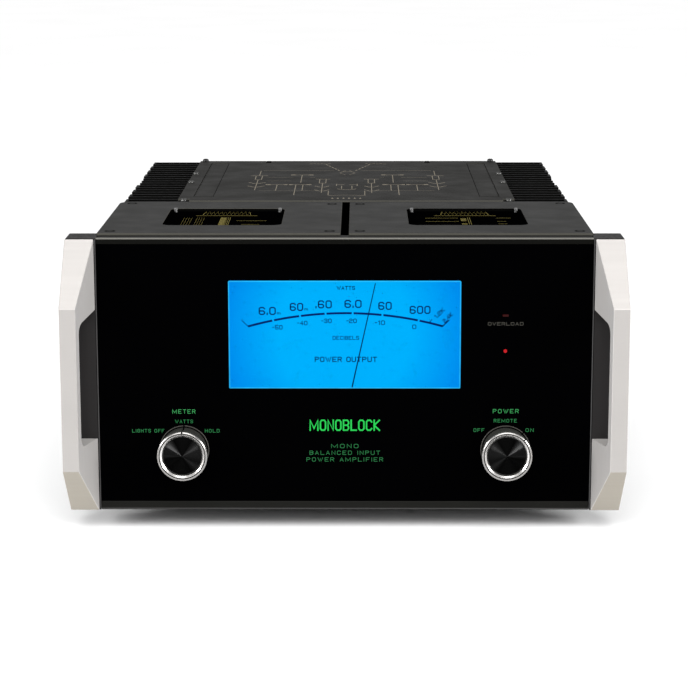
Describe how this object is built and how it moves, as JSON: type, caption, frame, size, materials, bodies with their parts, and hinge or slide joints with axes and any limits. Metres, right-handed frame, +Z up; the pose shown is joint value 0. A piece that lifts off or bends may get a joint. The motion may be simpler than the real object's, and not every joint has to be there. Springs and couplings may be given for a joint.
{
  "type": "power amplifier",
  "caption": "Full-width hi-fi monoblock power amplifier with a glass front, large blue power meter, rotary switches, side handles, transformer cans and finned heat sinks.",
  "frame": {"origin": "on the surface it stands on, under the middle of the object", "axes": "+X to the right seen from the front, +Y from the front glass to the rear panel, +Z up"},
  "size_m": [0.4444, 0.5716, 0.2428],
  "materials": {
    "front_glass": "polished black-backed glass",
    "meter_window": "clear polished lens",
    "panel_trim": "satin black anodised",
    "side_rail": "satin black anodised",
    "handle": "fine brushed and clear anodised",
    "subpanel_steel": "zinc plated",
    "meter_housing": "moulded",
    "meter_dial": "translucent printed dial, lit from behind",
    "meter_needle": "painted",
    "meter_movement": "moulded",
    "circuit_board": "solder-masked board",
    "knob": "turned satin black",
    "knob_ring": "polished ring",
    "switch_shaft": "turned",
    "switch_body": "moulded",
    "lamp_red": "translucent red lens",
    "chassis_steel": "satin stainless sheet",
    "rear_panel": "fine textured black paint",
    "foot_rubber": "moulded rubber",
    "transformer_can": "textured black paint",
    "cover": "satin black powder coat",
    "label_glass": "polished black-backed glass with gold print",
    "transformer_core": "varnished laminations",
    "heatsink": "black anodised extrusion",
    "capacitor_sleeve": "shrink sleeve",
    "socket_plastic": "moulded",
    "xlr_shell": "nickel plated",
    "rca_gold": "gold plated",
    "toggle_metal": "nickel plated",
    "terminal_block": "moulded insulator",
    "terminal_gold": "gold plated"
  },
  "bodies": {
    "amplifier": {"front_glass": "front_glass", "meter_window": "meter_window", "top_trim": "panel_trim", "bottom_trim": "panel_trim", "side_rail_right": "side_rail", "side_rail_left": "side_rail", "handle_right": "handle", "handle_left": "handle", "front_subpanel": "subpanel_steel", "meter_housing": "meter_housing", "meter_dial": "meter_dial", "meter_movement": "meter_movement", "meter_light_board": "circuit_board", "output_board_right": "circuit_board", "output_board_left": "circuit_board", "power_supply_board": "circuit_board", "input_board": "circuit_board", "meter_switch_body": "switch_body", "power_switch_body": "switch_body", "overload_lamp": "lamp_red", "standby_lamp": "lamp_red", "chassis_tray": "chassis_steel", "chassis_deck": "chassis_steel", "rear_panel": "rear_panel", "foot_front_left": "foot_rubber", "foot_front_right": "foot_rubber", "foot_rear_left": "foot_rubber", "foot_rear_right": "foot_rubber", "transformer_can_right": "transformer_can", "transformer_can_left": "transformer_can", "can_cover_right": "cover", "can_cover_left": "cover", "top_cover": "cover", "label_glass_right": "label_glass", "label_glass_left": "label_glass", "power_transformer": "transformer_core", "output_autoformer": "transformer_core", "heatsink_right": "heatsink", "heatsink_left": "heatsink", "capacitor_1": "capacitor_sleeve", "capacitor_2": "capacitor_sleeve", "capacitor_3": "capacitor_sleeve", "capacitor_4": "capacitor_sleeve", "mains_inlet": "socket_plastic", "xlr_input": "xlr_shell", "rca_input": "rca_gold", "input_switch_body": "toggle_metal", "terminal_block": "terminal_block"},
    "meter_knob": {"meter_knob": "knob", "meter_knob_ring": "knob_ring", "meter_switch_shaft": "switch_shaft"},
    "power_knob": {"power_knob": "knob", "power_knob_ring": "knob_ring", "power_switch_shaft": "switch_shaft"},
    "meter_needle": {"meter_needle": "meter_needle"},
    "input_switch_lever": {"input_switch_lever": "toggle_metal"},
    "terminal_nut_1": {"terminal_nut_1": "terminal_gold"},
    "terminal_nut_2": {"terminal_nut_2": "terminal_gold"},
    "terminal_nut_3": {"terminal_nut_3": "terminal_gold"},
    "terminal_nut_4": {"terminal_nut_4": "terminal_gold"}
  },
  "joints": [
    {"name": "meter_knob_turn", "type": "hinge", "parent": "amplifier", "child": "meter_knob", "pos_m": [-0.1298, -0.24825, 0.0684], "axis": [0, -1, 0], "range_deg": [-45, 45]},
    {"name": "power_knob_turn", "type": "hinge", "parent": "amplifier", "child": "power_knob", "pos_m": [0.1298, -0.24825, 0.0684], "axis": [0, -1, 0], "range_deg": [0, 90]},
    {"name": "needle_swing", "type": "hinge", "parent": "amplifier", "child": "meter_needle", "pos_m": [0, -0.23925, 0.091], "axis": [0, 1, 0], "range_deg": [-59, 34], "stiffness_Nm_per_rad": 0.002},
    {"name": "input_switch_flip", "type": "hinge", "parent": "amplifier", "child": "input_switch_lever", "pos_m": [-0.032, 0.25575, 0.051], "axis": [1, 0, 0], "range_deg": [0, 20]},
    {"name": "terminal_nut_1_unscrew", "type": "slide", "parent": "amplifier", "child": "terminal_nut_1", "axis": [0, 1, 0], "range_m": [0, 0.0045]},
    {"name": "terminal_nut_2_unscrew", "type": "slide", "parent": "amplifier", "child": "terminal_nut_2", "axis": [0, 1, 0], "range_m": [0, 0.0045]},
    {"name": "terminal_nut_3_unscrew", "type": "slide", "parent": "amplifier", "child": "terminal_nut_3", "axis": [0, 1, 0], "range_m": [0, 0.0045]},
    {"name": "terminal_nut_4_unscrew", "type": "slide", "parent": "amplifier", "child": "terminal_nut_4", "axis": [0, 1, 0], "range_m": [0, 0.0045]}
  ]
}
